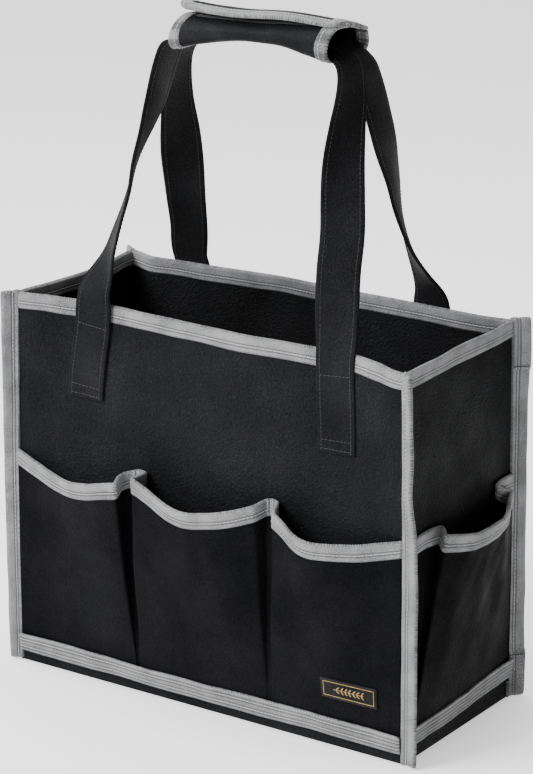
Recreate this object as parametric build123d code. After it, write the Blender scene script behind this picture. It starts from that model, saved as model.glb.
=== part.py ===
from build123d import *
import os
from dataclasses import dataclass
from math import cos, degrees, radians, sin

# Garden tool bag: an open box of stiff fabric with bound edges, a pleated pocket strip on each
# side, and two webbing straps that meet in a padded grip under a hook-and-loop flap.
# Millimetres. Origin at the middle of the underside, +X along the long side, -Y the front,
# +Z up. Every sub-part is one STEP file in parts/.

# --- Driving dimensions ---------------------------------------------------------------------
WIDTH = 330.0
DEPTH = 140.0
HEIGHT = 280.0
PANEL = 2.0
TAPE = 0.7
TAPE_WIDTH = 10.5
BOARD = 3.0
BOARD_GAP = 2.0

# Corner bindings: the two seam allowances and the tape folded over them stand out at 45 degrees.
FIN_REACH = 11.5
FIN_HALF = 1.7
FIN_RISE = 1.0
SEAM_END = 2.6

# Pocket strips, sewn down between the base tape and the dividers.
POCKET_FABRIC = 1.4
POCKET_FOOT = 14.0
POCKET_TOP = 162.0
DIVIDER = 55.0
SEAM_HALF = 1.8
FOLD = 7.0
POCKET_DEPTH = 21.0
SIDE_POCKET_DEPTH = 19.0
SIDE_PLEAT = 27.0
FOOT_DEPTH = 1.2
FOOT_FOLD = 2.6
SIDE_FOOT_PLEAT = 8.0
MOUTH_STAND = TAPE + 0.1

# The tape round the base.
BASE_TAPE_LOW = 9.5
BASE_TAPE_WIDTH = 12.5
BASE_TAPE_STAND = 3.6

# Label on the front right pocket.
LABEL_WIDTH = 44.0
LABEL_HEIGHT = 15.0
LABEL_X = 123.5
LABEL_Z = 45.5
LABEL_STAND = 0.8

# Webbing straps and their sewn ends.
STRAP_WIDTH = 29.0
STRAP = 2.4
ANCHOR_X = 104.0
ANCHOR_LOW = 213.0
ANCHOR_STAND = 3.4
HINGE_Y = DEPTH / 2 + ANCHOR_STAND + 1.4
HINGE_Z = HEIGHT + TAPE + 0.3
HINGE_GAP = 1.5
# Each row: share of a leg's height, share of its inward move, quarter turn so far in degrees.
LEG_TWIST = (
    (0.0, 0.0, 0),
    (0.12, 0.20, 6),
    (0.3, 0.48, 24),
    (0.5, 0.74, 50),
    (0.7, 0.90, 74),
    (0.86, 0.97, 87),
    (1.0, 1.0, 90),
)
BEND_TURNS = (90, 64, 38)
RUN_STEPS = 4

# The grip is an arch about an axis parallel to Y.
GRIP_X = 4.0
GRIP_HALF = 64.5
ARCH_CENTRE_Z = 150.0
LOWER_RUN_Z = 471.5
UPPER_RUN_Z = 480.3
RUN_OFFSET = 7.0
RUN_ANGLE = 11.5
LOWER_BEND = 6.0
PAD = 2.4
PAD_HALF_WIDTH = 25.5
PAD_UNDERSIDE = 466.5
PAD_FRONT_TOP = 483.3
PAD_BACK_TOP = 482.0
UNDER_HALF = 57.0
UNDER_SPLIT = 12.0
PAD_GAP = 1.0
FLAP_BACK_Z = 485.6
FLAP_FRONT_Z = 491.2
FLAP_CREST_Z = 493.4
FLAP_BINDING = 9.0
FLAP_SEAM_GAP = 0.5
PAD_TAPE = 8.0
HOOK_STRIP = 0.8
HOOK_WIDTH = 10.0
HOOK_HALF = 50.0


# --- Helpers --------------------------------------------------------------------------------
def block(x, y, z):
    """A box from its (low, high) limits on each axis."""
    size = [high - low for low, high in (x, y, z)]
    middle = [(low + high) / 2 for low, high in (x, y, z)]
    return Pos(*middle) * Box(*size)


def mitred(path, distance):
    """The open path moved to its left by a distance, with mitred corners."""
    points = [Vector(*point) for point in path]
    runs = [(b - a).normalized() for a, b in zip(points, points[1:])]
    sides = [Vector(-run.Y, run.X) for run in runs]
    moved = [points[0] + sides[0] * distance]
    for point, before, after in zip(points[1:], sides, sides[1:]):
        mitre = (before + after).normalized()
        moved.append(point + mitre * (distance / mitre.dot(before)))
    moved.append(points[-1] + sides[-1] * distance)
    return moved


def ring(path, low, high):
    """The closed outline between two offsets of an open path."""
    return mitred(path, low) + mitred(path, high)[::-1]


def standing_wall(plans, sides, heights):
    """A leaning wall between two offsets of a pocket's plans, and between two heights."""
    wires = []
    for height in heights:
        share = (height - POCKET_FOOT) / (POCKET_TOP - POCKET_FOOT)
        rings = [ring(plan, *sides) for plan in (plans.low, plans.high)]
        points = [a + (b - a) * share for a, b in zip(*rings)]
        places = [Vector(p.X, -plans.half_depth - p.Y, height) for p in points]
        wires.append(Wire.make_polygon(places, close=True))
    return Solid.make_loft(wires, ruled=True)


def front_copies(shape, quarter):
    """The same sub-part on two opposite sides: front and back, or right and left."""
    turned = shape.rotate(Axis.Z, 90) if quarter else shape
    return turned, turned.rotate(Axis.Z, 180)


# --- Body of the bag ------------------------------------------------------------------------
def panels():
    """The four walls, the base and the stiff board that lies on it."""
    front = block((-WIDTH / 2, WIDTH / 2), (-DEPTH / 2, -DEPTH / 2 + PANEL), (0, HEIGHT))
    inner_y = DEPTH / 2 - PANEL
    inner_x = WIDTH / 2 - PANEL
    right = block((inner_x, WIDTH / 2), (-inner_y, inner_y), (0, HEIGHT))
    board_x = inner_x - BOARD_GAP
    board_y = inner_y - BOARD_GAP
    return {
        "front_panel": front,
        "back_panel": front.rotate(Axis.Z, 180),
        "right_panel": right,
        "left_panel": right.rotate(Axis.Z, 180),
        "base_panel": block((-inner_x, inner_x), (-inner_y, inner_y), (0, PANEL)),
        "base_board": block(
            (-board_x, board_x), (-board_y, board_y), (PANEL, PANEL + BOARD)
        ),
    }


def corner_bindings():
    """A fin at each upright corner: tape folded over both seam allowances."""
    body = block((-WIDTH / 2, WIDTH / 2), (-DEPTH / 2, DEPTH / 2), (-1, HEIGHT + 5))
    fin = block((-FIN_HALF, FIN_REACH), (-FIN_HALF, FIN_HALF), (0, HEIGHT + FIN_RISE))
    corners = {"front_left": 225, "front_right": 315, "back_right": 45, "back_left": 135}
    made = {}
    for name, angle in corners.items():
        side_x = 1 if cos(radians(angle)) > 0 else -1
        side_y = 1 if sin(radians(angle)) > 0 else -1
        place = Pos(side_x * WIDTH / 2, side_y * DEPTH / 2, 0) * Rot(0, 0, angle)
        made[f"{name}_corner_binding"] = place * fin - body
    return made


def rim_channel(half_length, half_depth):
    """Tape folded over the top edge of the wall at y = -half_depth."""
    outer = (-half_depth - TAPE, -half_depth + PANEL + TAPE)
    wall = (-half_depth, -half_depth + PANEL)
    span = (-half_length, half_length)
    tape = block(span, outer, (HEIGHT - TAPE_WIDTH, HEIGHT + TAPE))
    return tape - block(span, wall, (0, HEIGHT))


def rim_bindings():
    long_rim = rim_channel(WIDTH / 2 - SEAM_END - 0.3, DEPTH / 2)
    short_rim = rim_channel(DEPTH / 2 - SEAM_END, WIDTH / 2)
    front, back = front_copies(long_rim, quarter=False)
    right, left = front_copies(short_rim, quarter=True)
    return {
        "front_rim_binding": front,
        "back_rim_binding": back,
        "right_rim_binding": right,
        "left_rim_binding": left,
    }


# --- Pockets --------------------------------------------------------------------------------
@dataclass
class Plans:
    """A strip's plan at its foot and at its mouth, as (along, outward) points, and its plane."""

    low: list
    high: list
    half_depth: float


def long_plan(depth, fold, stand):
    """Flush at the corners, full at the pleats, sewn back to the panel at the dividers."""
    right = [
        (0.0, depth),
        (DIVIDER - fold, depth * 0.9),
        (DIVIDER - SEAM_HALF, stand),
        (DIVIDER + SEAM_HALF, stand),
        (DIVIDER + fold, depth),
        (DIVIDER + fold + 28, depth * 0.84),
        (DIVIDER + fold + 62, depth * 0.52),
        (WIDTH / 2 - SEAM_END, stand),
    ]
    return [(-x, d) for x, d in right[:0:-1]] + right


def short_plan(depth, pleat, stand):
    """Flush beside each corner, then stepping out at a pleat."""
    fold = DEPTH / 2 - pleat
    right = [
        (0.0, depth),
        (fold * 0.6, depth * 0.9),
        (fold, depth * 0.62),
        (fold + 2.5, stand + 0.6),
        (DEPTH / 2 - SEAM_END, stand),
    ]
    return [(-x, d) for x, d in right[:0:-1]] + right


LONG_PLANS = Plans(
    long_plan(FOOT_DEPTH, FOOT_FOLD, 0.0),
    long_plan(POCKET_DEPTH, FOLD, MOUTH_STAND),
    DEPTH / 2,
)
SHORT_PLANS = Plans(
    short_plan(FOOT_DEPTH, SIDE_FOOT_PLEAT, 0.0),
    short_plan(SIDE_POCKET_DEPTH, SIDE_PLEAT, MOUTH_STAND),
    WIDTH / 2,
)


def pocket_binding(plans):
    """Tape folded over the mouth of the strip: two skins and the fold between them."""
    foot = POCKET_TOP - TAPE_WIDTH
    top = POCKET_TOP + TAPE
    inner = standing_wall(plans, (-TAPE, 0), (foot, top))
    fold = standing_wall(plans, (0, POCKET_FABRIC), (POCKET_TOP, top))
    outer = standing_wall(plans, (POCKET_FABRIC, POCKET_FABRIC + TAPE), (foot, top))
    return inner + fold + outer


def base_tape(plans, strip):
    """Tape over the foot of the pocket strip."""
    half_length = plans.low[-1][0]
    stand = (-plans.half_depth - BASE_TAPE_STAND, -plans.half_depth)
    heights = (BASE_TAPE_LOW, BASE_TAPE_LOW + BASE_TAPE_WIDTH)
    return block((-half_length, half_length), stand, heights) - strip


def pockets():
    made = {}
    sides = ((LONG_PLANS, "front", "back"), (SHORT_PLANS, "right", "left"))
    for plans, first, second in sides:
        strip = standing_wall(plans, (0, POCKET_FABRIC), (POCKET_FOOT, POCKET_TOP))
        parts = {
            "pocket_panel": strip,
            "pocket_binding": pocket_binding(plans),
            "base_tape": base_tape(plans, strip),
        }
        for part, shape in parts.items():
            near, far = front_copies(shape, quarter=plans is SHORT_PLANS)
            made[f"{first}_{part}"] = near
            made[f"{second}_{part}"] = far
    return made


def label():
    """A woven patch on the outer face of the front right pocket, leaning back with it."""
    sides = (POCKET_FABRIC, POCKET_FABRIC + LABEL_STAND)
    heights = (LABEL_Z - LABEL_HEIGHT / 2, LABEL_Z + LABEL_HEIGHT / 2)
    skin = standing_wall(LONG_PLANS, sides, heights)
    span = (LABEL_X - LABEL_WIDTH / 2, LABEL_X + LABEL_WIDTH / 2)
    return skin & block(span, (-DEPTH, 0), (0, HEIGHT))


# --- Straps ---------------------------------------------------------------------------------
def strap_anchors(rims):
    """The sewn ends of the straps, flat on the panels and over the rim binding."""
    made = {}
    for face, turn in (("front", 0), ("back", 180)):
        for side, sign in (("left", -1), ("right", 1)):
            x = sign * ANCHOR_X * (1 if face == "front" else -1)
            span = (x - STRAP_WIDTH / 2, x + STRAP_WIDTH / 2)
            stand = (-DEPTH / 2 - ANCHOR_STAND, -DEPTH / 2)
            patch = block(span, stand, (ANCHOR_LOW, HEIGHT + TAPE)).rotate(Axis.Z, turn)
            made[f"{face}_{side}_strap_anchor"] = patch - rims[f"{face}_rim_binding"]
    return made


def section(centre, across, through):
    """A strap section: a flat rectangle across the strap and through its thickness."""
    a = across.normalized() * (STRAP_WIDTH / 2)
    b = through.normalized() * (STRAP / 2)
    corners = [centre - a - b, centre + a - b, centre + a + b, centre - a + b]
    return Wire.make_polygon(corners, close=True)


def leg_sections(side, top, run_y):
    """One leg of a front strap, from the rim up to its bend, turning a quarter on the way."""
    foot = Vector(side * ANCHOR_X, -HINGE_Y, HINGE_Z)
    lean = (Vector(foot.X, run_y, top.Z) - foot).normalized()
    start = foot + lean * HINGE_GAP
    rise = top.Z - start.Z
    sections = []
    for share, inward, turn in LEG_TWIST:
        centre = Vector(
            start.X + (top.X - start.X) * inward,
            start.Y + (run_y - start.Y) * share,
            start.Z + rise * share,
        )
        angle = radians(turn)
        across = Vector(side * cos(angle), sin(angle), 0)
        through = Vector(side * sin(angle), -cos(angle), 0)
        sections.append(section(centre, across, through))
    return sections


def arch_point(radius, turn, y):
    angle = radians(turn)
    return Vector(GRIP_X + radius * sin(angle), y, ARCH_CENTRE_Z + radius * cos(angle))


def bend_sections(side, run_radius, bend, run_y):
    """The bend from the top of a leg to the run inside the grip."""
    end = arch_point(run_radius, side * RUN_ANGLE, run_y)
    inward = Vector(side * sin(radians(RUN_ANGLE)), 0, cos(radians(RUN_ANGLE)))
    centre = end - inward * bend
    sections = []
    for turn in BEND_TURNS:
        out = Vector(side * sin(radians(turn)), 0, cos(radians(turn)))
        sections.append(section(centre + out * bend, Vector(0, 1, 0), out))
    return sections, centre + Vector(side * bend, 0, 0)


def strap(run_z, bend, run_y):
    """A whole front strap from rim to rim, above its sewn ends."""
    run_radius = run_z - ARCH_CENTRE_Z
    halves = {}
    for side in (-1, 1):
        curve, top = bend_sections(side, run_radius, bend, run_y)
        halves[side] = leg_sections(side, top, run_y)[:-1] + curve
    run = []
    for step in range(RUN_STEPS + 1):
        turn = RUN_ANGLE * (2 * step / RUN_STEPS - 1)
        out = Vector(sin(radians(turn)), 0, cos(radians(turn)))
        run.append(section(arch_point(run_radius, turn, run_y), Vector(0, 1, 0), out))
    return Solid.make_loft(halves[-1] + run + halves[1][::-1], ruled=True)


# --- Grip -----------------------------------------------------------------------------------
def arched(outline, start, end):
    """A section in the YZ plane swept round the arch between two distances from its middle."""
    turns = [degrees(reach / (PAD_UNDERSIDE - ARCH_CENTRE_Z)) for reach in (start, end)]
    points = [Vector(GRIP_X, p.X, p.Y) for p in outline]
    face = Face(Wire.make_polygon(points, close=True))
    axis = Axis((GRIP_X, 0, ARCH_CENTRE_Z), (0, 1, 0))
    return revolve(face.rotate(axis, turns[0]), axis, turns[1] - turns[0])


def arched_sheet(path, sides, half_length=GRIP_HALF):
    return arched(ring(path, *sides), -half_length, half_length)


def end_tapes(path, width):
    """Tape folded over both ends of a swept pad, before the pad is cut from it."""
    outline = ring(path, -PAD / 2 - TAPE, PAD / 2 + TAPE)
    return [
        arched(outline, -GRIP_HALF - TAPE, width - GRIP_HALF),
        arched(outline, GRIP_HALF - width, GRIP_HALF + TAPE),
    ]


def stretch(path, near, far):
    """The straight piece of a path's last run between two distances back from its end."""
    end, before = Vector(*path[-1]), Vector(*path[-2])
    back = (before - end).normalized()
    return [(p.X, p.Y) for p in (end + back * far, end + back * near)]


def pad_paths():
    """Mid-lines of the grip's walls, undersides and flap, as (y, z) points."""
    wide = PAD_HALF_WIDTH
    low = PAD_UNDERSIDE + PAD / 2
    front = [
        (-9.0, PAD_FRONT_TOP - PAD / 2),
        (-wide + 7, PAD_FRONT_TOP - PAD / 2 - 0.8),
        (-wide + 1.5, PAD_FRONT_TOP - 6),
        (-wide, low + 7),
        (-wide + 0.8, low + 3),
    ]
    front_under = [(-wide + 3.5, low), (UNDER_SPLIT, low)]
    back_under = [(UNDER_SPLIT + PAD_GAP, low), (wide - 5, low)]
    back = [(wide - 1, low + 3), (wide, low + 8), (wide - 0.5, PAD_BACK_TOP)]
    flap = [
        (wide - 1.0, FLAP_BACK_Z),
        (wide - 12, (FLAP_BACK_Z + FLAP_CREST_Z) / 2 + 0.7),
        (-wide + 23, FLAP_CREST_Z),
        (-wide + 3, FLAP_FRONT_Z),
    ]
    return front, front + front_under, back, back_under + back, flap


def grip():
    """Front pad on the front strap; back pad and the flap over it on the back strap."""
    front_path, front_whole, back_path, back_whole, flap_path = pad_paths()
    skin = (-PAD / 2, PAD / 2)
    front_pad = arched_sheet(front_whole, skin, UNDER_HALF) + arched_sheet(front_path, skin)
    back_pad = arched_sheet(back_whole, skin, UNDER_HALF) + arched_sheet(back_path, skin)
    flap = arched_sheet(flap_path, skin)
    flap_tapes = end_tapes(flap_path, FLAP_BINDING)
    edge_path = stretch(flap_path, -TAPE, FLAP_BINDING)
    edge_half = GRIP_HALF - FLAP_BINDING
    edge_tape = arched_sheet(edge_path, (-PAD / 2 - TAPE, PAD / 2 + TAPE), edge_half)
    hook_start = FLAP_BINDING + FLAP_SEAM_GAP
    hook_path = stretch(flap_path, hook_start, hook_start + HOOK_WIDTH)
    return {
        "front_grip_pad": front_pad,
        "front_grip_pad_binding": [tape - front_pad for tape in end_tapes(front_path, PAD_TAPE)],
        "back_grip_pad": back_pad,
        "back_grip_pad_binding": [tape - back_pad for tape in end_tapes(back_path, PAD_TAPE)],
        "grip_flap": flap,
        "grip_flap_binding": [tape - flap for tape in (edge_tape, *flap_tapes)],
        "grip_loop_strip": arched_sheet(
            front_path[:2], (-PAD / 2 - HOOK_STRIP, -PAD / 2), HOOK_HALF
        ),
        "grip_hook_strip": arched_sheet(hook_path, (PAD / 2, PAD / 2 + HOOK_STRIP), HOOK_HALF),
    }


# --- Assembly -------------------------------------------------------------------------------
def assembly():
    nodes = {}
    nodes.update(panels())
    nodes.update(corner_bindings())
    rims = rim_bindings()
    nodes.update(rims)
    nodes.update(pockets())
    nodes["label_patch"] = label()
    nodes.update(strap_anchors(rims))
    nodes["front_strap"] = strap(LOWER_RUN_Z, LOWER_BEND, -RUN_OFFSET)
    upper_bend = LOWER_BEND + UPPER_RUN_Z - LOWER_RUN_Z
    nodes["back_strap"] = strap(UPPER_RUN_Z, upper_bend, -RUN_OFFSET).mirror(Plane.XZ)
    nodes.update(grip())
    return nodes


def main():
    os.makedirs("parts", exist_ok=True)
    for name, shape in assembly().items():
        solids = []
        for piece in shape if isinstance(shape, list) else [shape]:
            solids.extend(piece.solids())
        whole = solids[0] if len(solids) == 1 else Compound(children=solids)
        export_step(whole, f"parts/{name}.step")


main()
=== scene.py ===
import math

import bpy
import numpy as np
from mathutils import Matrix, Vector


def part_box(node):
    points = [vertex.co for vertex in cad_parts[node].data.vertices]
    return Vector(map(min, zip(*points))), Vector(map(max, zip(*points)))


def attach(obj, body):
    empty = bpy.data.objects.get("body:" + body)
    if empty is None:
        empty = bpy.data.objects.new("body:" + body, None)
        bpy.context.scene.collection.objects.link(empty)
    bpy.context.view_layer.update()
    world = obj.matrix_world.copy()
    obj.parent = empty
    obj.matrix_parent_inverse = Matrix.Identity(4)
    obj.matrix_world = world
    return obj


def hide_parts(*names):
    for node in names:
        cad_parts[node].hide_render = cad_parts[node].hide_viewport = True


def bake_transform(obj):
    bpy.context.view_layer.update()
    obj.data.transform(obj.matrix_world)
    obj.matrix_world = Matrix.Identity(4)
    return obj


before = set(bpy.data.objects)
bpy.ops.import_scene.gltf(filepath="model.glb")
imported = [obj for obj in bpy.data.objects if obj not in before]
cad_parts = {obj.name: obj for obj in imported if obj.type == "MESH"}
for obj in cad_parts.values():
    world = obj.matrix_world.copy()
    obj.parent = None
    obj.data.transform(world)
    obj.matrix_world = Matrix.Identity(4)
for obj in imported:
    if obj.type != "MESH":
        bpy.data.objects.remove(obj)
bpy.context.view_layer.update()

# Looks of the garden tool bag. Lengths are in millimetres until mesh_object turns them into
# metres. Every wall, pocket, tape and strap is a grid of points, thickened into a cloth shell.


def corners(node):
    low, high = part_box(node)
    return np.array(low) * 1000, np.array(high) * 1000


# --- Sizes read from the frame ---
PANEL_LOW, PANEL_HIGH = corners("front_panel")
HALF_W = PANEL_HIGH[0]
HALF_D = -PANEL_LOW[1]
HEIGHT = PANEL_HIGH[2]
PANEL = PANEL_HIGH[1] - PANEL_LOW[1]
FIN_TOP = corners("front_left_corner_binding")[1][2]
TAPE_WIDTH = HEIGHT - corners("front_rim_binding")[0][2]
POCKET_FOOT, POCKET_TOP = (corner[2] for corner in corners("front_pocket_panel"))
BASE_TAPE_LOW, BASE_TAPE_HIGH = (corner[2] for corner in corners("front_base_tape"))
ANCHOR_LOW, ANCHOR_HIGH = corners("front_right_strap_anchor")
STRAP_WIDTH = ANCHOR_HIGH[0] - ANCHOR_LOW[0]
ANCHOR_X = (ANCHOR_HIGH[0] + ANCHOR_LOW[0]) / 2
PAD_LOW, PAD_HIGH = corners("front_grip_pad")
GRIP_X = (PAD_LOW[0] + PAD_HIGH[0]) / 2
GRIP_HALF = (PAD_HIGH[0] - PAD_LOW[0]) / 2 - 2.0
GRIP_WIDE = -PAD_LOW[1] - 1.2
LABEL_LOW, LABEL_HIGH = corners("label_patch")

# --- Cloth and sewing sizes ---
TAPE = 0.7
POCKET_FABRIC = 1.5
# Half thicknesses.
BASE_HALF = 0.95
FIN_HALF = 1.7
BAND_HALF = 0.9
STRAP_HALF = 1.1
LABEL_HALF = 0.42

FIN_REACH = 11.2
SEAM_END = 2.4  # how far the tapes and strips stop short of a corner seam
CLEAR = 0.1  # the gap that keeps one layer of cloth off the next

# Where stitch rows run, as shares of a tape's width.
TAPE_SEAM = 0.38
FIN_SEAM = 0.34
BAND_SEAMS = (0.26, 0.70)
STRAP_SEAMS = (0.09, 0.91)
THREAD_LIFT = 0.05
FOLD_PINCH = 0.72  # a tape's half thickness at its fold, as a share of the rest


# --- Small mathematics ---
RIPPLE_WAVES = 7
TURN = 6.283  # radians in a full turn


def smooth(x):
    x = np.clip(x, 0.0, 1.0)
    return x * x * (3 - 2 * x)


def hill(x, centre, width):
    return np.exp(-(((np.asarray(x, float) - centre) / width) ** 2))


def bumps(x, rows, level=0.0):
    """A level with hills of (height, place, width) on it."""
    return level + sum(height * hill(x, place, width) for height, place, width in rows)


def ripple(a, b, seed, length):
    """Smooth, repeatable waviness between about -1 and 1 over a plane of two coordinates."""
    draw = np.random.default_rng(seed)
    total = 0.0
    for _ in range(RIPPLE_WAVES):
        angle, phase = draw.uniform(0, 2 * math.pi, 2)
        wave = length * draw.uniform(0.6, 1.7)
        travel = a * math.cos(angle) + b * math.sin(angle)
        total = total + np.sin(travel * TURN / wave + phase)
    return total / math.sqrt(RIPPLE_WAVES * 2)


def wobble(a, seed, length):
    """The same waviness along one line."""
    return ripple(a, 0 * a, seed, length)


def unit(v):
    return v / np.maximum(np.linalg.norm(v, axis=-1, keepdims=True), 1e-9)


def grid(a, b):
    return np.meshgrid(a, b, indexing="ij")


def travelled(points):
    """The distance along a line at each of its points."""
    step = np.linalg.norm(np.diff(points, axis=0), axis=1)
    return np.concatenate([[0], np.cumsum(step)])


def looked_up(want, places, rows):
    """Rows of values, given at some places, at the wanted places."""
    return np.stack([np.interp(want, places, column) for column in rows.T], 1)


def through(points, samples, curved=True):
    """A line through control rows of any number of columns: Catmull-Rom, or straight."""
    p = np.array(points, float)
    padded = np.vstack([2 * p[0] - p[1], p, 2 * p[-1] - p[-2]])
    t = np.linspace(0, len(p) - 1, samples)
    i = np.minimum(t.astype(int), len(p) - 2)
    f = (t - i)[:, None]
    a, b, c, d = (padded[i + k] for k in range(4))
    if not curved:
        return b + (c - b) * f
    return 0.5 * (2 * b + (c - a) * f + (2 * a - 5 * b + 4 * c - d) * f**2
                  + (3 * b - a - 3 * c + d) * f**3)


def evened(points, samples, columns=3):
    """The same line with points at even distances, measured on its first columns."""
    along = travelled(points[:, :columns])
    return looked_up(np.linspace(0, along[-1], samples), along, points)


def graph(rows, x):
    """A smooth curve through rows of (place, value)."""
    line = through(rows, 120)
    return np.interp(x, line[:, 0], line[:, 1])


def blurred(points, sigma):
    """Points smoothed along their line, with the ends kept."""
    reach = int(3 * sigma) + 1
    kernel = np.exp(-0.5 * (np.arange(-reach, reach + 1) / sigma) ** 2)
    kernel /= kernel.sum()
    out = points.copy()
    for k in range(points.shape[1]):
        column = points[:, k]
        before = 2 * column[0] - column[reach:0:-1]
        after = 2 * column[-1] - column[-2:-reach - 2:-1]
        out[:, k] = np.convolve(np.concatenate([before, column, after]), kernel, "valid")
    return out


# --- Meshes ---
def mesh_object(name, points, faces, weave=None):
    """A smooth-shaded mesh from millimetre points. weave holds cloth coordinates in mm."""
    data = bpy.data.meshes.new(name)
    data.from_pydata((np.asarray(points) * 0.001).tolist(), [], faces)
    data.polygons.foreach_set("use_smooth", [True] * len(data.polygons))
    if weave is not None:
        layer = data.attributes.new("weave", "FLOAT_VECTOR", "POINT")
        layer.data.foreach_set("vector", np.asarray(weave, np.float32).ravel())
    data.update()
    piece = bpy.data.objects.new(name, data)
    bpy.context.scene.collection.objects.link(piece)
    return piece


def finish_piece(piece, body, material, replaced=()):
    """Material, body and replaced nodes. A piece without a body is left without a parent."""
    piece.data.materials.append(material)
    if body:
        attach(piece, body)
    if replaced:
        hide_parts(*replaced)
    return piece


def around(a):
    """The values round the edge of a grid, in order."""
    return np.concatenate([a[:, 0], a[-1, 1:], a[-2::-1, -1], a[0, -2:0:-1]])


EDGE_BULGE = 0.85  # how far a cut edge rounds outward, as a share of the half thickness


class Cloth:
    """A thickened grid of points. Rows run along u, columns along v."""

    def __init__(self, mid, half):
        self.mid = mid
        self.normal = unit(np.cross(np.gradient(mid, axis=0), np.gradient(mid, axis=1)))
        self.half = np.broadcast_to(np.asarray(half, float), mid.shape[:2])

    def face(self, side):
        return self.mid + self.normal * self.half[..., None] * side

    def weave(self):
        """Cloth coordinates of each point: mm along, mm across and share of the width."""
        steps = [np.linalg.norm(np.diff(self.mid, axis=k), axis=2).mean(1 - k) for k in (0, 1)]
        u, v = (np.concatenate([[0], np.cumsum(step)]) for step in steps)
        along, across = grid(u, v)
        return np.stack([along, across, across / v[-1]], 2)

    def build(self, name):
        """A closed mesh: both faces and a rounded edge between them."""
        nu, nv = self.half.shape
        index = np.arange(nu * nv).reshape(nu, nv)
        quads = np.stack([index[:-1, :-1], index[1:, :-1], index[1:, 1:], index[:-1, 1:]], 2)
        quads = quads.reshape(-1, 4)
        size = nu * nv
        edge = around(index)
        bulge = self.half.ravel()[edge, None] * EDGE_BULGE
        rim = self.mid.reshape(-1, 3)[edge] + self.outward() * bulge
        points = np.vstack([self.face(1).reshape(-1, 3), self.face(-1).reshape(-1, 3), rim])
        ring = 2 * size + np.arange(len(edge))
        after = np.roll(edge, -1)
        ring_after = np.roll(ring, -1)
        top = np.stack([edge, ring, ring_after, after], 1)
        under = np.stack([edge + size, after + size, ring_after, ring], 1)
        faces = np.vstack([quads, quads[:, ::-1] + size, top, under]).tolist()
        weave = self.weave().reshape(-1, 3)
        return mesh_object(name, points, faces, np.vstack([weave, weave, weave[edge]]))

    def piece(self, name, body, slot, material, replaced=()):
        return finish_piece(self.build(name), body, material, replaced)

    def outward(self):
        """At each edge point, the way out of the cloth in its own plane."""
        out = np.zeros_like(self.mid)
        for way, mid in ((out, self.mid), (out.swapaxes(0, 1), self.mid.swapaxes(0, 1))):
            way[0] += unit(mid[0] - mid[1])
            way[-1] += unit(mid[-1] - mid[-2])
        return around(unit(out))

    def row(self, v, side=1, lift=0.0):
        """Points and normals along the cloth at a share v of its width."""
        return self.line(v, side, lift, 1)

    def column(self, u, side=1, lift=0.0):
        """Points and normals across the cloth at a share u of its length."""
        return self.line(u, side, lift, 0)

    def line(self, share, side, lift, axis):
        face = self.face(side) + self.normal * side * lift
        place = share * (face.shape[axis] - 1)
        low = min(int(place), face.shape[axis] - 2)
        f = place - low
        pick = [np.take(a, low, axis) * (1 - f) + np.take(a, low + 1, axis) * f
                for a in (face, self.normal * side)]
        return pick[0], unit(pick[1])


def grooved(v, half, places, depth, width, fold=1.0):
    """Half thickness across a tape, pinched at its stitch rows and at its fold."""
    profile = np.full(len(v), float(half))
    for place in places:
        profile -= depth * hill(v, place, width)
    profile[-1] *= fold
    return profile


def cut(line, start, end):
    """The stretch of a line between two shares of its points."""
    points, normals = line
    last = len(points) - 1
    kept = slice(int(start * last), math.ceil(end * last) + 1)
    return points[kept], normals[kept]


# A stitch: rings of (place along it, girth, rise), as shares of its length and radius.
STITCH_RINGS = ((-0.5, 0.35, -0.5), (-0.32, 0.9, 0.3), (0.0, 1.0, 0.75), (0.32, 0.9, 0.3),
                (0.5, 0.35, -0.5))
STITCH_SIDES = 5
STITCH_LOOK = 0.6  # how far either side of a stitch its direction is read


def stitch_row(line, pitch=2.9, length=2.45, radius=0.32, slant=0.0):
    """Points and faces of a row of stitches along (points, normals) on a cloth face."""
    points, normals = line
    along = travelled(points)
    count = max(int(along[-1] / pitch), 1)
    at = (np.arange(count) + 0.5) * along[-1] / count
    ahead, behind = np.minimum(at + STITCH_LOOK, along[-1]), np.maximum(at - STITCH_LOOK, 0)
    centre = looked_up(at, along, points)
    up = unit(looked_up(at, along, normals))
    run = unit(looked_up(ahead, along, points) - looked_up(behind, along, points))
    side = unit(np.cross(up, run))
    run = unit(run * math.cos(slant) + side * math.sin(slant))
    side = unit(np.cross(up, run))
    angles = np.arange(STITCH_SIDES)[:, None, None] * 2 * math.pi / STITCH_SIDES
    spread = side * np.cos(angles) + up * np.sin(angles)
    rings = [centre + run * (shift * length) + up * (rise * radius) + spread * (radius * girth)
             for shift, girth, rise in STITCH_RINGS]
    made = np.concatenate(rings).swapaxes(0, 1).reshape(-1, 3)
    per = len(STITCH_RINGS) * STITCH_SIDES
    base = []
    for a in range(0, per - STITCH_SIDES, STITCH_SIDES):
        for k in range(STITCH_SIDES):
            after = (k + 1) % STITCH_SIDES
            base.append([a + k, a + after, a + after + STITCH_SIDES, a + k + STITCH_SIDES])
    ends = [list(range(STITCH_SIDES))[::-1], list(range(per - STITCH_SIDES, per))]
    starts = np.arange(count) * per
    quads = (np.array(base)[None] + starts[:, None, None]).reshape(-1, 4).tolist()
    caps = [[v + start for v in end] for start in starts.tolist() for end in ends]
    return made, quads + caps


def sew(rows, cloth, share):
    """A stitch row along a tape, seen on both of its faces."""
    for side in (1, -1):
        rows.append(stitch_row(cloth.row(share, side, THREAD_LIFT)))


def stitching(name, rows, body, material):
    """One piece from several stitch rows."""
    points, faces = [], []
    total = 0
    for made, quads in rows:
        faces.extend([[v + total for v in quad] for quad in quads])
        points.append(made)
        total += len(made)
    piece = mesh_object(name, np.vstack(points), faces)
    return finish_piece(piece, body, material)


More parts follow.
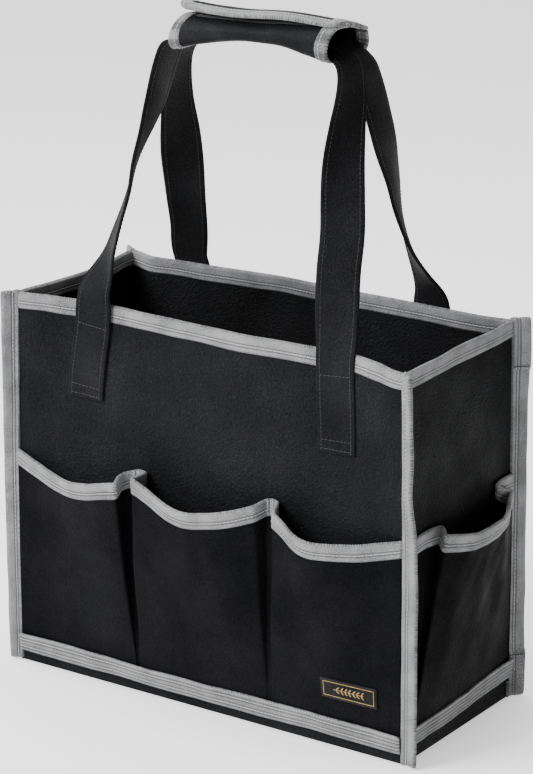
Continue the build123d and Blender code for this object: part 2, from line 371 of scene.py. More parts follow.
# --- Materials ---
class Nodes:
    """A short way to write the nodes of a material or a world."""

    def __init__(self, owner):
        """owner is a world, or the name of a new material."""
        self.owner = bpy.data.materials.new(owner) if isinstance(owner, str) else owner
        self.owner.use_nodes = True
        self.tree = self.owner.node_tree

    def put(self, node, key, value):
        if isinstance(value, bpy.types.NodeSocket):
            self.tree.links.new(value, node.inputs[key])
        else:
            node.inputs[key].default_value = value

    def node(self, kind, inputs=None, **settings):
        node = self.tree.nodes.new("ShaderNode" + kind)
        for key, value in settings.items():
            setattr(node, key, value)
        for key, value in (inputs or {}).items():
            self.put(node, key, value)
        return node

    def add(self, kind, output, inputs=None, **settings):
        return self.node(kind, inputs, **settings).outputs[output]

    def noise(self, where, scale, detail=3.0, roughness=0.55):
        inputs = {"Vector": where, "Scale": scale, "Detail": detail, "Roughness": roughness}
        return self.add("TexNoise", "Fac", inputs)

    def cells(self, scale, **settings):
        inputs = {"Vector": self.place(), "Scale": scale}
        return self.add("TexVoronoi", "Distance", inputs, **settings)

    def bands(self, direction, where, scale, distortion, detail_scale):
        inputs = {"Vector": where, "Scale": scale, "Distortion": distortion, "Detail": 1.0,
                  "Detail Scale": detail_scale}
        return self.add("TexWave", "Fac", inputs, wave_type="BANDS", bands_direction=direction)

    def math(self, operation, a, b):
        return self.add("Math", 0, {0: a, 1: b}, operation=operation)

    def mixed(self, first, share, second, other):
        """first x share + second x other."""
        parts = self.math("MULTIPLY", first, share), self.math("MULTIPLY", second, other)
        return self.math("ADD", *parts)

    def ramp(self, value, stops):
        node = self.node("ValToRGB", {"Fac": value})
        ramp = node.color_ramp
        while len(ramp.elements) < len(stops):
            ramp.elements.new(0.5)
        for element, (place, colour) in zip(ramp.elements, stops):
            element.position = place
            element.color = (*colour, 1.0)
        return node.outputs["Color"]

    def span(self, value, low, high, from_low=0.0, from_high=1.0):
        inputs = {"Value": value, "From Min": from_low, "From Max": from_high,
                  "To Min": low, "To Max": high}
        return self.add("MapRange", "Result", inputs)

    def scaled(self, where, factors):
        return self.add("Mapping", "Vector", {"Vector": where, "Scale": factors})

    def bump(self, height, distance, under=None):
        inputs = {"Height": height, "Distance": distance, "Strength": 1.0}
        if under is not None:
            inputs["Normal"] = under
        return self.add("Bump", "Normal", inputs)

    def place(self):
        return self.add("TexCoord", "Object")

    def plain(self, value, stops, rough, normal, sheen=0.0):
        """A material whose colour and roughness follow one value."""
        return self.finish(Base_Color=self.ramp(value, stops), Normal=normal,
                           Roughness=self.span(value, *rough), Sheen_Weight=sheen)

    def finish(self, **inputs):
        """The material, with these inputs on its shader."""
        for key, value in inputs.items():
            self.put(self.tree.nodes["Principled BSDF"], key.replace("_", " "), value)
        return self.owner


def fabric_material(name, dark, light, gloss, grain):
    """Black non-woven fabric: pebbled grain, fine fibres, sheen that comes and goes in patches."""
    n = Nodes(name)
    where = n.place()
    pebble = n.cells(640.0, feature="SMOOTH_F1")
    fibre = n.noise(where, 2300.0, 4.0, 0.7)
    blotch = n.noise(where, 17.0, 3.0)
    speck = n.noise(where, 1100.0, 2.0)
    tone = n.mixed(blotch, 0.3, speck, 0.7)
    colour = n.ramp(tone, ((0.34, dark), (0.58, light), (0.72, [c * 2.0 for c in light])))
    shine = n.mixed(speck, 0.35, blotch, 0.65)
    normal = n.bump(fibre, 0.00018 * grain, n.bump(pebble, 0.00050 * grain))
    return n.finish(Base_Color=colour, Roughness=n.span(shine, 0.60, 0.44, 0.35, 0.65),
                    Specular_IOR_Level=n.span(shine, gloss * 0.6, gloss * 1.7, 0.38, 0.62),
                    Normal=normal, Sheen_Weight=0.004, Sheen_Roughness=0.4)


TAPE_DARK, TAPE_LIGHT = (0.065, 0.066, 0.068), (0.34, 0.342, 0.35)
# How dark the painted shade in the grooves beside a stitch row is, as a share of the tape's
# colour.
PAINTED_GROOVE_SHADE = 0.46


def tape_material(name, rows):
    """Heather grey tape: ribs, flecked yarns and painted shade in the grooves beside each stitch
    row.
    """
    n = Nodes(name)
    cloth = n.add("Attribute", "Vector", attribute_name="weave")
    ribs = n.bands("DIAGONAL", n.scaled(cloth, (1.0, 0.8, 0.0)), 0.34, 0.7, 1.4)
    yarns = n.bands("Y", n.scaled(cloth, (1.0, 1.0, 0.0)), 0.42, 0.5, 2.0)
    fleck = n.noise(n.scaled(cloth, (0.8, 1.4, 0.0)), 1.1, 3.0, 0.85)
    soft = n.noise(n.place(), 60.0, 2.0)
    tone = n.mixed(fleck, 0.72, ribs, 0.08)
    tone = n.math("ADD", tone, n.math("MULTIPLY", soft, 0.22))
    middle = [(a + b) / 2 for a, b in zip(TAPE_DARK, TAPE_LIGHT)]
    colour = n.ramp(tone, ((0.41, TAPE_DARK), (0.50, middle), (0.60, TAPE_LIGHT)))
    # Painted shade: dark bands either side of each stitch row stand in for the shade in its
    # grooves. The tape is also darker toward its cut edge and its fold.
    stops = [(0.0, 0.55), (0.05, 0.95)]
    for row in rows:
        stops += [(row + away, 1.0 if abs(away) in (0.03, 0.16) else PAINTED_GROOVE_SHADE)
                  for away in (-0.16, -0.11, -0.06, -0.03, 0.03, 0.06, 0.11, 0.16)]
    stops += [(0.94, 1.0), (1.0, 0.7)]
    share = n.add("SeparateXYZ", "Z", {"Vector": cloth})
    painted_shade = n.ramp(share, [(place, [value] * 3) for place, value in stops])
    paint = n.add("Mix", 2, {"Factor": 1.0, 6: colour, 7: painted_shade}, data_type="RGBA",
                  blend_type="MULTIPLY")
    weave = n.bump(n.math("ADD", ribs, n.math("MULTIPLY", yarns, 0.6)), 0.00028)
    normal = n.bump(n.noise(n.place(), 2200.0, 3.0), 0.00015, weave)
    return n.finish(Base_Color=paint, Roughness=n.span(fleck, 0.72, 0.92), Normal=normal,
                    Sheen_Weight=0.10, Sheen_Roughness=0.5, Specular_IOR_Level=0.2)


def thread_material(name, colour):
    n = Nodes(name)
    twist = n.noise(n.place(), 3000.0, 2.0)
    stops = ((0.3, [c * 0.72 for c in colour]), (0.7, colour))
    return n.plain(twist, stops, (0.5, 0.75), n.bump(twist, 0.0001), 0.15)


def board_material():
    n = Nodes("base_board_finish")
    grain = n.noise(n.place(), 700.0, 3.0)
    scuff = n.noise(n.scaled(n.place(), (1.0, 9.0, 1.0)), 30.0, 4.0)
    stops = ((0.35, (0.006, 0.006, 0.007)), (0.75, (0.018, 0.018, 0.019)))
    return n.plain(scuff, stops, (0.5, 0.75), n.bump(grain, 0.0001))


def pile_material():
    n = Nodes("hook_and_loop")
    cells = n.cells(1400.0)
    stops = ((0.1, (0.0066, 0.0066, 0.0077)), (0.7, (0.003, 0.003, 0.0035)))
    return n.plain(cells, stops, (0.6, 0.95), n.bump(cells, 0.0006), 0.3)


FABRIC = fabric_material("black_fabric", (0.0046, 0.0047, 0.0051), (0.0125, 0.0128, 0.0138),
                         0.018, 2.0)
POCKET_CLOTH = fabric_material("black_pocket_fabric", (0.0020, 0.0021, 0.0024),
                               (0.0062, 0.0063, 0.0070), 0.014, 0.7)
GRIP_CLOTH = fabric_material("black_grip_fabric", (0.0024, 0.0025, 0.0029),
                             (0.0070, 0.0072, 0.0080), 0.06, 0.8)
WEBBING = fabric_material("black_strap_fabric", (0.0040, 0.0041, 0.0045),
                          (0.0120, 0.0122, 0.0131), 0.02, 0.6)
GREY_TAPE = tape_material("heather_grey_tape", (TAPE_SEAM,))
BAND_TAPE = tape_material("heather_grey_band", BAND_SEAMS)
FIN_TAPE = tape_material("heather_grey_corner", (FIN_SEAM,))
GREY_THREAD = thread_material("pale_grey_thread", (0.50, 0.50, 0.51))
BLACK_THREAD = thread_material("black_thread", (0.0075, 0.008, 0.009))
GOLD_THREAD = thread_material("dull_gold_thread", (0.40, 0.27, 0.10))
LABEL_CLOTH = fabric_material("label_weave", (0.002, 0.002, 0.002), (0.006, 0.006, 0.006),
                              0.1, 0.5)
BOARD = board_material()
PILE = pile_material()


# --- The four walls as surfaces ---
SEAM_FADE = 28.0  # the stretch beside a corner seam over which a wall's bow dies away
# How far each top corner of the soft box leans from the square, as (x, y).
CORNER_LEAN = {"front_left": (1.5, 2.0), "front_right": (0.0, -4.0),
               "back_right": (-3.0, 0.5), "back_left": (4.0, -4.0)}


def corner_at(name, z):
    """The seam line of an upright corner."""
    sign_y = -1 if name.startswith("front") else 1
    sign_x = -1 if name.endswith("left") else 1
    share = np.clip(np.asarray(z, float) / HEIGHT, 0, 1.1) ** 1.6
    lean_x, lean_y = CORNER_LEAN[name]
    sway = 0.7 * np.sin(share * 5.0 + sign_x + 2 * sign_y)
    x = sign_x * HALF_W + lean_x * share + sway * share * (1 - share) * 2
    y = sign_y * HALF_D + lean_y * share - sway * share * (1 - share)
    return np.stack([x, y, np.asarray(z, float) * np.ones_like(x)], -1)


class Wall:
    """One side: along runs left to right as seen from outside, depth runs outward.

    rim(along) is how far its top edge bows outward, which fades downward with the given power.
    dents are rows of (depth, squash of the height, seed, length) for its shallow waves."""

    def __init__(self, start, end, half_length, rim, power, dents, belly=0.0):
        self.start, self.end = start, end
        self.half_length = half_length
        self.rim, self.power, self.dents, self.belly = rim, power, dents, belly

    def bow(self, along, z):
        """How far the wall stands outward of the flat between its two seams."""
        rise = np.clip(z / HEIGHT, 0, 1.1)
        dents = sum(size * ripple(along, z * squash, seed, length)
                    for size, squash, seed, length in self.dents)
        belly = self.belly * hill(along, 20, 80) * np.sin(np.clip(rise, 0, 1) * math.pi)
        out = self.rim(along) * rise**self.power + belly + dents * smooth(rise * 6)
        return out * smooth((self.half_length - np.abs(along)) / SEAM_FADE)

    def at(self, along, z, depth):
        """Points at places along the wall, heights and distances outward."""
        along, z, depth = np.broadcast_arrays(*(np.asarray(v, float) for v in (along, z, depth)))
        a, b = corner_at(self.start, z), corner_at(self.end, z)
        share = (along + self.half_length) / (2 * self.half_length)
        across = unit((b - a) * [1, 1, 0])
        out = np.stack([across[..., 1], -across[..., 0], np.zeros_like(z)], -1)
        depth = depth + self.bow(along, z)
        return a + (b - a) * share[..., None] + out * depth[..., None]


# Distance along the front rim from its middle, and how far it bows outward there.
FRONT_RIM = ((-165, -1), (-135, -5.0), (-104, -8.6), (-58, -9.0), (-32, -9.3), (-4, -9.5),
             (24, -9.6), (51, -11.5), (83, -13.0), (115, -12.8), (137, -8.0), (165, -1.0))
# The other rims as hills of (height, place, width).
BACK_RIM = ((-2.4, 107, 40), (-4.5, 143, 20), (5.0, 40, 50))
RIGHT_RIM = ((-0.8, 6, 22), (1.0, -34, 20), (0.9, 34, 22))
LEFT_RIM = ((-7.0, 0, 46),)

WALLS = {
    "front": Wall("front_left", "front_right", HALF_W, lambda s: graph(FRONT_RIM, s), 3,
                  ((1.5, 1.0, 3, 150), (0.5, 0.7, 5, 55)), belly=2.4),
    "right": Wall("front_right", "back_right", HALF_D, lambda s: bumps(s, RIGHT_RIM), 6,
                  ((1.3, 1.0, 21, 120), (0.4, 1.0, 22, 48))),
    "back": Wall("back_right", "back_left", HALF_W, lambda s: bumps(s, BACK_RIM, -2.2), 2,
                 ((1.6, 1.0, 11, 140), (0.5, 1.0, 12, 60))),
    "left": Wall("back_left", "front_left", HALF_D, lambda s: bumps(s, LEFT_RIM), 3,
                 ((1.2, 1.0, 31, 120), (0.4, 1.0, 32, 50))),
}


# --- Shell ---
GREY_ROWS, BLACK_ROWS = [], []


def build_panels():
    for name, wall in WALLS.items():
        reach = wall.half_length + 0.2
        along = np.linspace(-reach, reach, int(wall.half_length * 2 / 3.2))
        heights = np.linspace(PANEL * 0.45, HEIGHT - 0.3, 96)
        s, z = grid(along, heights)
        cloth = Cloth(wall.at(s, z, -PANEL / 2), PANEL / 2)
        piece = cloth.piece(f"{name}_panel_cloth", "bag", "fabric", FABRIC, [f"{name}_panel"])


def build_base():
    """The floor of the bag, a little domed inside its seams, and the board's material."""
    edge, fade = 2.2, 30
    x = np.linspace(-HALF_W + edge, HALF_W - edge, 60)
    y = np.linspace(-HALF_D + edge, HALF_D - edge, 30)
    gx, gy = grid(x, y)
    inside = smooth((HALF_W - np.abs(gx)) / fade) * smooth((HALF_D - np.abs(gy)) / fade)
    z = BASE_HALF + CLEAR + 0.35 * (1.2 + ripple(gx, gy, 41, 90)) * inside
    cloth = Cloth(np.stack([gx, gy, z], 2), BASE_HALF)
    piece = cloth.piece("base_panel_cloth", "bag", "fabric", FABRIC, ["base_panel"])
    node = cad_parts["base_board"]
    node.data.materials.clear()
    node.data.materials.append(BOARD)


def build_rims():
    """Tape folded over the top edge of each wall, as a cloth with its fold at the top."""
    top = HEIGHT + TAPE - 0.4
    share = np.linspace(0, 1, 15)
    half = grooved(share, PANEL / 2 + TAPE + CLEAR, (TAPE_SEAM,), 0.30, 0.07, FOLD_PINCH)
    for k, (name, wall) in enumerate(WALLS.items()):
        reach = wall.half_length - SEAM_END + 0.8
        along = np.linspace(-reach, reach, int(reach * 2 / 2.2))
        s, v = grid(along, share)
        low = top - TAPE_WIDTH + 0.35 * wobble(s, 50 + k, 40)
        z = low + (top - low) * v
        lean = 0.25 * ripple(s, z, 51 + k, 35)
        cloth = Cloth(wall.at(s, z, lean - PANEL / 2), half)
        cloth.piece(f"{name}_rim_tape", "bag", "binding", GREY_TAPE, [f"{name}_rim_binding"])
        sew(GREY_ROWS, cloth, TAPE_SEAM)


# Each fin: its direction in degrees and its reach, at the foot and at the top.
FINS = {"front_left": ((212, 0.72), (226, 1.0)), "front_right": ((349, 1.0), (321, 0.95)),
        "back_right": ((52, 1.0), (48, 1.04)), "back_left": ((138, 1.0), (146, 0.95))}
# The laps of a joined tape: samples of the fin that each covers, and its cross stitches' place.
LAPS = {"foot": (slice(0, 15), 0.94), "head": (slice(104, 120), 0.06)}


def build_fins():
    """Corner bindings: tape folded over the seam allowances, standing out from each corner."""
    share = np.linspace(0, 1, 13)
    z, r = grid(np.linspace(2.5, FIN_TOP - 0.3, 120), share)
    rise = z / FIN_TOP
    turned = smooth((rise - 0.52) / 0.2)
    profile = grooved(share, FIN_HALF, (FIN_SEAM,), 0.34, 0.07) + 0.9 * hill(share, 0.0, 0.14)
    profile[-1] *= FOLD_PINCH
    for k, (name, ((low_aim, low_reach), (high_aim, high_reach))) in enumerate(FINS.items()):
        aim = low_aim + (high_aim - low_aim) * turned + 3 * wobble(z, 60 + k, 70)
        reach = FIN_REACH * (low_reach + (high_reach - low_reach) * rise)
        reach = reach * (1 + 0.03 * wobble(z, 70 + k, 45))
        angle = np.radians(aim)
        out = np.stack([np.cos(angle), np.sin(angle), np.zeros_like(z)], 2)
        curl = np.stack([-np.sin(angle), np.cos(angle), np.zeros_like(z)], 2)
        wave = 0.7 * ripple(z, r * 6, 75 + k, 50) * r
        mid = corner_at(name, z) + out * (r * reach - 0.8)[..., None] + curl * wave[..., None]
        half = profile * (1 + 0.05 * ripple(z, r * 9, 80 + k, 30))
        cloth = Cloth(mid, half)
        replaced = [f"{name}_corner_binding"]
        cloth.piece(f"{name}_corner_tape", "bag", "binding", FIN_TAPE, replaced)
        sew(GREY_ROWS, cloth, FIN_SEAM)
        if name == "back_right":
            for part, (covered, place) in LAPS.items():
                lap = Cloth(mid[covered] + out[covered] * 0.5, half[covered] + 0.5)
                lap.piece(f"{name}_{part}_lap", "bag", "binding", FIN_TAPE)
                for side in (1, -1):
                    cross = lap.column(place, side, 2 * THREAD_LIFT)
                    BLACK_ROWS.append(stitch_row(cross, 2.0, 1.9, 0.42))


# --- Pockets ---
# Rows of (along, depth and height of the mouth, place along the foot). Each run of rows is
# smooth; folds and seams are the corners between runs.
DIVIDER = 55.0
END = HALF_W - SEAM_END
FRONT_MOUTH = (
    [(-END, 0.9, 163, -END), (-145, 4, 158.5, -143), (-127, 9, 155, -123), (-108, 15, 153.5, -102),
     (-90, 19, 156, -83), (-77, 21, 159.5, -69), (-62.8, 21, 162.6, -57.6)],
    [(-66.0, 12, 165.0, -57.4), (-65.0, 6, 166.0, -57.1)],
    [(-61.5, 2.4, 166.5, -56.8), (-56.5, 1.2, 168.3, -55.6), (-50, 1.2, 168, -54)],
    [(-48.6, 21, 169, -53), (-35.7, 22, 165, -38), (-21, 23, 159.8, -22), (-9, 24, 156.3, -10),
     (3, 25, 156.3, 3), (20, 24, 159.5, 20), (38, 19, 163.8, 39), (50.7, 13, 168, 53.5)],
    [(54.5, 2.4, 170.5, 54.5), (58.5, 1.2, 171, 56), (63, 1.2, 170.5, 57.5)],
    [(69.7, 17, 168.2, 58.5), (77, 18.5, 164.5, 67), (88, 20, 157.2, 81), (99, 20, 154.2, 94),
     (113, 17, 154.2, 110), (132, 10, 155.6, 130), (147, 5, 159, 146.5), (END, 0.9, 162.6, END)],
)
SIDE_END = HALF_D - SEAM_END
RIGHT_MOUTH = (
    [(-SIDE_END, 0.9, 161.5, -SIDE_END), (-52, 1.0, 162, -66), (-42, 1.2, 161.9, -65),
     (-29.5, 1.5, 160.8, -63.5)],
    [(-27.6, 3.4, 160.6, -63.2), (-30.5, 6.4, 160.6, -63.6)],
    [(-37.5, 12.5, 159.2, -64.3), (-22, 17.6, 155.9, -42), (-6, 19, 152.8, -20), (9, 19, 153, 2),
     (25, 18.5, 154.3, 26), (36, 16, 157.3, 44), (47, 10.5, 160.3, 56), (57, 7.2, 161.8, 63)],
    [(47, 5.0, 166, 64), (42.4, 3.4, 168.8, 64.5), (42.8, 1.6, 169.6, 65)],
    [(50, 1.2, 170.3, 65.8), (SIDE_END, 1.0, 169, SIDE_END)],
)


def mirrored(runs):
    """The same pocket strip on the opposite wall, turned end for end."""
    return [[(-a, d, z, -f) for a, d, z, f in run[::-1]] for run in runs[::-1]]


def mouth_line(runs, samples):
    """The strip as one line of rows: smooth along each run, with rounded folds between."""
    pieces = [through(run, 70, curved=len(run) > 3) for run in runs]
    return blurred(evened(np.vstack(pieces), samples), 1.1)


class Strip:
    """A pocket strip between its foot and its mouth on one wall, bulging by its belly."""

    def __init__(self, wall, runs, samples, belly, seed):
        self.wall, self.mouth = wall, mouth_line(runs, samples)
        self.foot_depth = 0.2 + 0.9 * self.mouth[:, 1:2] / self.mouth[:, 1].max()
        self.belly, self.seed = belly, seed

    def grid(self, share):
        """Points at shares of the height. share is one row or a (line, share) grid."""
        share = np.broadcast_to(share, (len(self.mouth), np.shape(share)[-1]))
        along, depth, top, foot = (self.mouth[:, k:k + 1] for k in range(4))
        z = POCKET_FOOT + (top - POCKET_FOOT) * share
        rise = np.clip(share, 0, 1.1)
        along = foot + (along - foot) * rise**1.05
        full = depth / depth.max()
        out = self.foot_depth + (depth - self.foot_depth) * rise**1.3
        out = out + self.belly * full * np.sin(np.clip(share, 0, 1) * math.pi) ** 2
        crease = 0.9 * ripple(along, z * 0.25, self.seed, 34) * smooth(share * 2 - 0.2)
        crease = crease + 0.35 * ripple(along, z * 0.5, self.seed + 1, 14) * share
        out = out + crease * full**2
        return self.wall.at(along, z, out + POCKET_FABRIC / 2 + CLEAR)

    def share_of(self, height):
        """Heights as shares of the strip's own height, at each point of its line."""
        return (height - POCKET_FOOT) / (self.mouth[:, 2:3] - POCKET_FOOT)


STRIPS = {
    "front": Strip(WALLS["front"], FRONT_MOUTH, 360, 2.2, 100),
    "right": Strip(WALLS["right"], RIGHT_MOUTH, 210, 1.6, 107),
    "back": Strip(WALLS["back"], mirrored(FRONT_MOUTH), 360, 2.0, 114),
    "left": Strip(WALLS["left"], mirrored(RIGHT_MOUTH), 210, 1.8, 121),
}
# How far each base tape rides up at its two ends.
TAPE_RISE = {"front": (0, 0), "right": (3.5, 9.0), "back": (0.5, 0), "left": (5.0, 2.0)}
SEWN_DEPTH = 2.2  # where the mouth is closer to its wall than this, the strip is sewn down
TACKS = ((-0.006, GREY_ROWS), (-0.003, BLACK_ROWS), (0.0, GREY_ROWS), (0.004, GREY_ROWS))


def build_pockets():
    for k, (name, strip) in enumerate(STRIPS.items()):
        cloth = Cloth(strip.grid(np.linspace(0, 0.985, 60)[None]), POCKET_FABRIC / 2)
        replaced = [f"{name}_pocket_panel"]
        piece = cloth.piece(f"{name}_pocket_cloth", "bag", "pocket_fabric", POCKET_CLOTH, replaced)
        build_mouth_tape(name, strip, k)
        build_base_tape(name, strip, k)


def build_mouth_tape(name, strip, k):
    """Tape folded over a strip's mouth, with bar tacks at the dividers."""
    v = np.linspace(0, 1, 15)
    low = strip.mouth[:, 2:3] - TAPE_WIDTH + 0.3 * wobble(strip.mouth[:, :1], 90 + k, 36)
    high = strip.mouth[:, 2:3] + TAPE
    half = grooved(v, POCKET_FABRIC / 2 + TAPE, (TAPE_SEAM,), 0.28, 0.07, 0.7)
    cloth = Cloth(strip.grid(strip.share_of(low + (high - low) * v[None])), half)
    cloth.piece(f"{name}_mouth_tape", "bag", "binding", GREY_TAPE, [f"{name}_pocket_binding"])
    sew(GREY_ROWS, cloth, TAPE_SEAM)
    if name in ("front", "back"):
        sewn = strip.mouth[:, 1] < SEWN_DEPTH
        for middle in (-DIVIDER - 2, DIVIDER + 3):
            away = np.abs(strip.mouth[:, 0] - (middle if name == "front" else -middle))
            tack_rows(cloth, int(np.where(sewn, away, np.inf).argmin()) / (len(away) - 1))


def tack_rows(cloth, u):
    """A bar tack: close slanted stitches across a tape where its strip is sewn down."""
    for shift, rows in TACKS:
        line = cut(cloth.column(u + shift, 1, 3 * THREAD_LIFT), 0.08, 0.98)
        rows.append(stitch_row(line, 1.2, 2.0, 0.3, 0.8))


def build_base_tape(name, strip, k):
    """A flat tape over a strip's foot, with two seams and a crossed row at its upper edge."""
    wall = strip.wall
    rise_a, rise_b = TAPE_RISE[name]
    reach = wall.half_length - SEAM_END + 0.6
    along = np.linspace(-reach, reach, int(reach * 2 / 2.4))
    v = np.linspace(0, 1, 13)
    s, share = grid(along, v)
    lift = rise_a + (rise_b - rise_a) * (s + reach) / (2 * reach)
    low = BASE_TAPE_LOW + lift + 0.5 * wobble(s, 95 + k, 60)
    high = BASE_TAPE_HIGH + lift + 0.4 * wobble(s, 99 + k, 45)
    z = low + (high - low) * share
    stand = 2.9 + 1.3 * share + 0.25 * ripple(s, z, 105 + k, 30)
    cloth = Cloth(wall.at(s, z, stand), grooved(v, BAND_HALF, BAND_SEAMS, 0.26, 0.06))
    cloth.piece(f"{name}_base_band", "bag", "binding", BAND_TAPE, [f"{name}_base_tape"])
    for place in BAND_SEAMS:
        GREY_ROWS.append(stitch_row(cloth.row(place, 1, THREAD_LIFT)))
    for slant in (0.75, -0.75):
        GREY_ROWS.append(stitch_row(cloth.row(0.97, 1, -0.1), 2.4, 2.0, 0.2, slant))


# --- Label ---
LABEL_PROUD = 0.55


def outer_face(strip, along, height):
    """How far out (y) the front strip's face is at places along its right pocket."""
    share = (height - POCKET_FOOT) / (POCKET_TOP - POCKET_FOOT)
    rows = strip.grid(np.array([[share]]))[:, 0]
    rows = rows[strip.mouth[:, 0] > DIVIDER + 12]
    rows = rows[np.argsort(rows[:, 0])]
    return np.interp(along, rows[:, 0], rows[:, 1]) - POCKET_FABRIC / 2


def build_label():
    """A plain woven patch with a gold border and a leaf sprig."""
    x = np.linspace(LABEL_LOW[0], LABEL_HIGH[0], 45)
    z = np.linspace(LABEL_LOW[2], LABEL_HIGH[2], 17)
    y = np.stack([outer_face(STRIPS["front"], x, height) - LABEL_PROUD for height in z], 1)
    gx, gz = grid(x, z)
    cloth = Cloth(np.stack([gx, y, gz], 2), LABEL_HALF)
    cloth.piece("label_cloth", "bag", "label", LABEL_CLOTH, ["label_patch"])
    border = [cut(cloth.row(share), 0.05, 0.95) for share in (0.14, 0.86)]
    border += [cut(cloth.column(share), 0.14, 0.86) for share in (0.05, 0.95)]
    rows = [stitch_row(line, 1.3, 1.5, 0.30) for line in border]
    stitching("label_embroidery", rows + sprig(cloth), "bag", GOLD_THREAD)
    for share in (0.05, 0.95):
        BLACK_ROWS.append(stitch_row(cut(cloth.row(share), 0.01, 0.99), radius=0.2))


def on_cloth(cloth, u, v):
    """The point and normal of a cloth's face nearest to shares of its length and width."""
    nu, nv = cloth.half.shape
    i, j = round(u * (nu - 1)), round(v * (nv - 1))
    return cloth.face(1)[i, j], cloth.normal[i, j]


def sprig(cloth):
    """A stem with pairs of leaves, each three satin stitches."""
    stem = [on_cloth(cloth, u, 0.5) for u in np.linspace(0.22, 0.78, 12)]
    rows = [stitch_row(tuple(map(np.array, zip(*stem))), 1.6, 1.7, 0.24)]
    for u in np.linspace(0.28, 0.72, 7):
        for sign in (-1, 1):
            root, normal = on_cloth(cloth, u, 0.5)
            tip, _ = on_cloth(cloth, u + 0.055, 0.5 + sign * 0.2)
            for spread in (-0.35, 0.0, 0.35):
                side = np.array([spread, 0, 0])
                line = (np.array([root + side * 0.3, tip + side]), np.array([normal, normal]))
                rows.append(stitch_row(line, 9.0, 3.2, 0.26))
    return rows


# --- Straps ---
# Each leg: how far its sewn end is shifted outward, its top's (y, z), and its way up from the
# rim as rows of (share of the rise, inward from the sewn end, turn in degrees).
LEGS = {
    ("front", -1): (1.0, (-12.0, 457.0), (
        (0.04, 3.2, 6), (0.12, 8.3, 24), (0.2, 11.9, 44), (0.32, 16.0, 52), (0.44, 19.7, 56),
        (0.57, 21.9, 62), (0.69, 27.1, 74), (0.8, 30.7, 84), (0.92, 33.9, 90), (0.98, 36.0, 90),
        (1.04, 39.0, 90))),
    ("front", 1): (2.5, (-8.0, 464.0), (
        (0.04, 3.1, 6), (0.16, 6.8, 20), (0.28, 10.1, 28), (0.41, 11.7, 33), (0.53, 15.9, 40),
        (0.65, 19.7, 52), (0.77, 21.4, 66), (0.88, 21.8, 80), (0.97, 25.3, 90),
        (1.02, 31.0, 90))),
    ("back", -1): (1.0, (12.0, 452.0), (
        (0.04, -2.5, 2), (0.16, 2.5, 8), (0.31, 5.5, 18), (0.45, 8.5, 34), (0.60, 11.5, 58),
        (0.74, 14.5, 77), (0.88, 20.5, 88), (1.0, 29.0, 90))),
    ("back", 1): (4.0, (9.0, 462.0), (
        (0.04, 6.0, 8), (0.14, 11.5, 34), (0.27, 18.5, 52), (0.41, 20.0, 64), (0.55, 20.0, 74),
        (0.68, 21.0, 86), (0.80, 22.5, 90), (0.92, 25.0, 90), (1.0, 28.0, 90))),
}
# A sewn end, up its wall: (height, how far the strap's middle stands off the wall).
SEWN_PATH = ((ANCHOR_LOW[2], 1.4), (ANCHOR_LOW[2] + 12, 1.2), (240.0, 1.2),
             (HEIGHT - TAPE_WIDTH - 3, 1.3), (HEIGHT - TAPE_WIDTH + 2, 2.1), (HEIGHT - 2, 2.3))
CROSS_HEIGHTS = (ANCHOR_LOW[2] + 3, ANCHOR_LOW[2] + 8, HEIGHT - TAPE_WIDTH - 4)
RUN_Y = 7.0  # how far each strap's run through the grip is from the middle of the bag
RUN_ABOVE = {"front": 3.6, "back": 6.6}


def leg_rows(side, face):
    """Control rows (x, y, z, turn) from the bottom of the sewn end up to the top of a leg."""
    wall = WALLS[face]
    shift, (top_y, top_z), leg = LEGS[face, side]
    local = side * (ANCHOR_X + shift) * (1 if face == "front" else -1)
    rows = []
    for z, depth in SEWN_PATH:
        x, y, _ = wall.at(local, z, depth)
        lean = (leg[0][1] + shift) * smooth((z - ANCHOR_LOW[2]) / (HEIGHT - ANCHOR_LOW[2]))
        rows.append((x - side * lean, y, z, 0.0))
    foot_y, foot_z = wall.at(local, HEIGHT, SEWN_PATH[-1][1])[1], HEIGHT + 1
    for share, inward, turn in leg:
        rows.append((side * (ANCHOR_X - inward), foot_y + (top_y - foot_y) * share,
                     foot_z + (top_z - foot_z) * share, turn))
    return np.array(rows)


def strap_line(face):
    """One strap's middle line, with its direction and the way across it at each point.

    It runs from the left sewn end, through the grip, to the right sewn end."""
    out = -1 if face == "front" else 1
    reach = GRIP_HALF - 8
    run = [(x, RUN_Y * out, pad_low(x) + RUN_ABOVE[face], 90.0)
           for x in np.linspace(GRIP_X - reach, GRIP_X + reach, 8)]
    rows = np.vstack([leg_rows(-1, face), run, leg_rows(1, face)[::-1]])
    line = blurred(evened(through(rows, 800), 320), 2.2)
    tangent = unit(np.gradient(line[:, :3], axis=0))
    turn = np.radians(np.clip(line[:, 3], 0, 90))
    side = np.where(line[:, 0] < GRIP_X, -1.0, 1.0)
    across = np.stack([side * np.cos(turn), -out * np.sin(turn), 0 * turn], 1)
    across = unit(across - tangent * (across * tangent).sum(1, keepdims=True))
    return line, tangent, across


def strap_cloth(line, tangent, across):
    """The strap about its line: a little narrower and cupped where it is free of the bag."""
    v = np.linspace(-1, 1, 13)
    length = np.arange(len(line)) * np.linalg.norm(np.diff(line[:2, :3], axis=0))
    a, b = grid(length, v)
    free = smooth((line[:, 2] - HEIGHT) / 30)[:, None]
    width = STRAP_WIDTH / 2 * (1 - 0.02 * (1 + ripple(a, b * 3, 150, 70)) * free)
    cup = (0.9 * (b**2 - 0.5) + 0.35 * ripple(a, b * 14, 151, 42)) * free
    mid = (line[:, None, :3] + across[:, None] * (b * width)[..., None]
           + unit(np.cross(tangent, across))[:, None] * cup[..., None])
    share = np.linspace(0, 1, len(v))
    return Cloth(mid, grooved(share, STRAP_HALF, STRAP_SEAMS, 0.22, 0.05))


